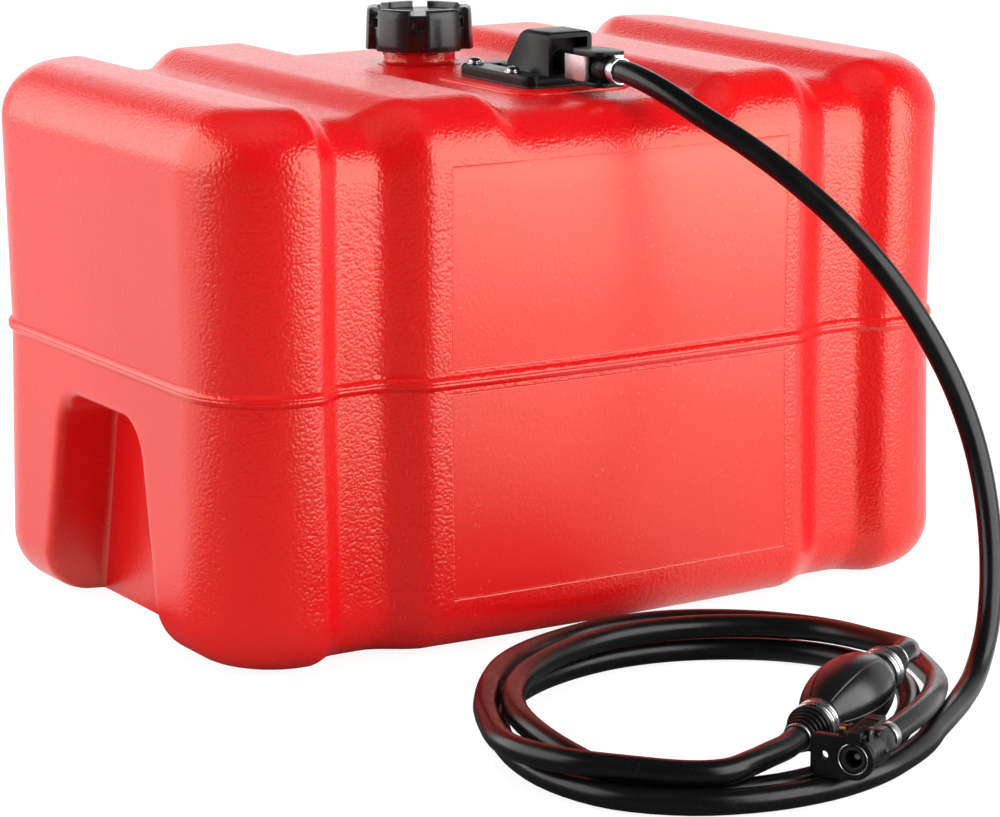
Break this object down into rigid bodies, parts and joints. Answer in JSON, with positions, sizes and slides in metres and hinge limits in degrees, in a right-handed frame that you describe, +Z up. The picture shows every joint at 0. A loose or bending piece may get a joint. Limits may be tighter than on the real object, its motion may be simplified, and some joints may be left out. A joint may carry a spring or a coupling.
{
  "type": "portable outboard fuel tank",
  "caption": "Red moulded fuel tank with a vented screw cap, and a pickup from which a coiled hose runs by quick connectors and a primer bulb to the engine end.",
  "frame": {"origin": "centre of the tank's underside, on the floor", "axes": "+X along the tank's length towards its right end seen from the front, +Y towards its back, +Z up; the hose leaves towards -Y"},
  "size_m": [0.5802, 0.7738, 0.388],
  "materials": {
    "tank_red": "moulded high-density polyethylene with a fine pebble grain",
    "cap_black": "semi-gloss moulded plastic",
    "pickup_black": "satin moulded plastic",
    "seal_rubber": "matt rubber",
    "hose_rubber": "satin extruded rubber",
    "bulb_rubber": "smooth glossy moulded rubber",
    "zinc_plate": "bright plated metal",
    "steel": "plain steel",
    "brass": "plain brass colour",
    "natural_plastic": "unpigmented plastic"
  },
  "bodies": {
    "tank": {"tank_shell": "tank_red", "threaded_inserts": "brass", "pickup_gasket": "seal_rubber", "pickup_housing": "pickup_black", "screw_washers": "zinc_plate", "pickup_screws": "zinc_plate", "dip_tube": "natural_plastic", "strainer": "steel", "tank_nipple": "zinc_plate", "nipple_oring": "seal_rubber"},
    "cap_seal": {"cap_gasket": "seal_rubber"},
    "cap_vent": {"vent_body": "cap_black", "vent_spring": "steel"},
    "cap": {"filler_cap": "cap_black"},
    "vent_valve": {"vent_disc": "steel"},
    "fuel_line": {"connector_body": "pickup_black", "latch_pin": "steel", "latch_spring": "steel", "connector_valve_spring": "steel", "connector_stem": "steel", "tank_hose_clamp": "zinc_plate", "hose_lead": "hose_rubber", "hose_coil": "hose_rubber", "bulb_shell": "bulb_rubber", "bulb_bands": "zinc_plate", "bulb_inlet": "pickup_black", "bulb_outlet": "pickup_black", "bulb_hose_rings": "zinc_plate", "hose_tail": "hose_rubber", "engine_hose_clamp": "zinc_plate", "engine_connector_body": "pickup_black", "engine_stem": "steel", "engine_latch_pin": "steel", "engine_latch_spring": "brass", "engine_plunger_spring": "steel", "engine_port_seal": "seal_rubber"},
    "tank_latch": {"connector_latch": "zinc_plate"},
    "tank_valve": {"connector_valve": "zinc_plate"},
    "inlet_valve": {"inlet_ball": "steel"},
    "outlet_valve": {"outlet_ball": "steel"},
    "engine_lever": {"engine_latch": "pickup_black"},
    "plunger": {"engine_plunger": "zinc_plate"}
  },
  "joints": [
    {"name": "cap_lift_off", "type": "slide", "parent": "tank", "child": "cap_seal", "axis": [0, 0, 1], "range_m": [0, 0.08]},
    {"name": "cap_climb", "type": "slide", "parent": "cap_seal", "child": "cap_vent", "axis": [0, 0, 1], "range_m": [0, 0.00625]},
    {"name": "cap_turn", "type": "hinge", "parent": "cap_vent", "child": "cap", "pos_m": [0.002, 0.073, 0.382], "axis": [0, 0, 1], "range_deg": [0, 450]},
    {"name": "vent_open", "type": "slide", "parent": "cap_vent", "child": "vent_valve", "axis": [0, 0, -1], "range_m": [0, 0.002], "stiffness_N_per_m": 200, "springref_m": -0.002, "deforming": ["vent_spring"]},
    {"name": "unplug", "type": "slide", "parent": "tank", "child": "fuel_line", "axis": [0, -1, 0], "range_m": [0, 0.04]},
    {"name": "tank_latch_press", "type": "hinge", "parent": "fuel_line", "child": "tank_latch", "pos_m": [0.0039, -0.131, 0.3665], "axis": [0, 0, 1], "range_deg": [0, 6], "stiffness_Nm_per_rad": 0.5, "springref_deg": -5.73},
    {"name": "tank_valve_close", "type": "slide", "parent": "fuel_line", "child": "tank_valve", "axis": [0, 1, 0], "range_m": [0, 0.003]},
    {"name": "inlet_valve_lift", "type": "slide", "parent": "fuel_line", "child": "inlet_valve", "axis": [-0.8644, -0.4991, -0.061], "range_m": [0, 0.0035]},
    {"name": "outlet_valve_lift", "type": "slide", "parent": "fuel_line", "child": "outlet_valve", "axis": [-0.8644, -0.4991, -0.061], "range_m": [0, 0.0035]},
    {"name": "engine_lever_press", "type": "hinge", "parent": "fuel_line", "child": "engine_lever", "pos_m": [-0.08621, -0.5645, 0.0431], "axis": [-0.5, 0.866, 0], "range_deg": [0, 6], "stiffness_Nm_per_rad": 1, "springref_deg": -5.73},
    {"name": "plunger_press", "type": "slide", "parent": "fuel_line", "child": "plunger", "axis": [0.866, 0.5, 0], "range_m": [0, 0.0035], "stiffness_N_per_m": 800, "springref_m": -0.003}
  ],
  "couplings": [
    {"joint": "cap_climb", "follows": "cap_turn", "m_per_rad": 0.00079577},
    {"joint": "tank_valve_close", "follows": "unplug", "ratio": 0.075}
  ]
}
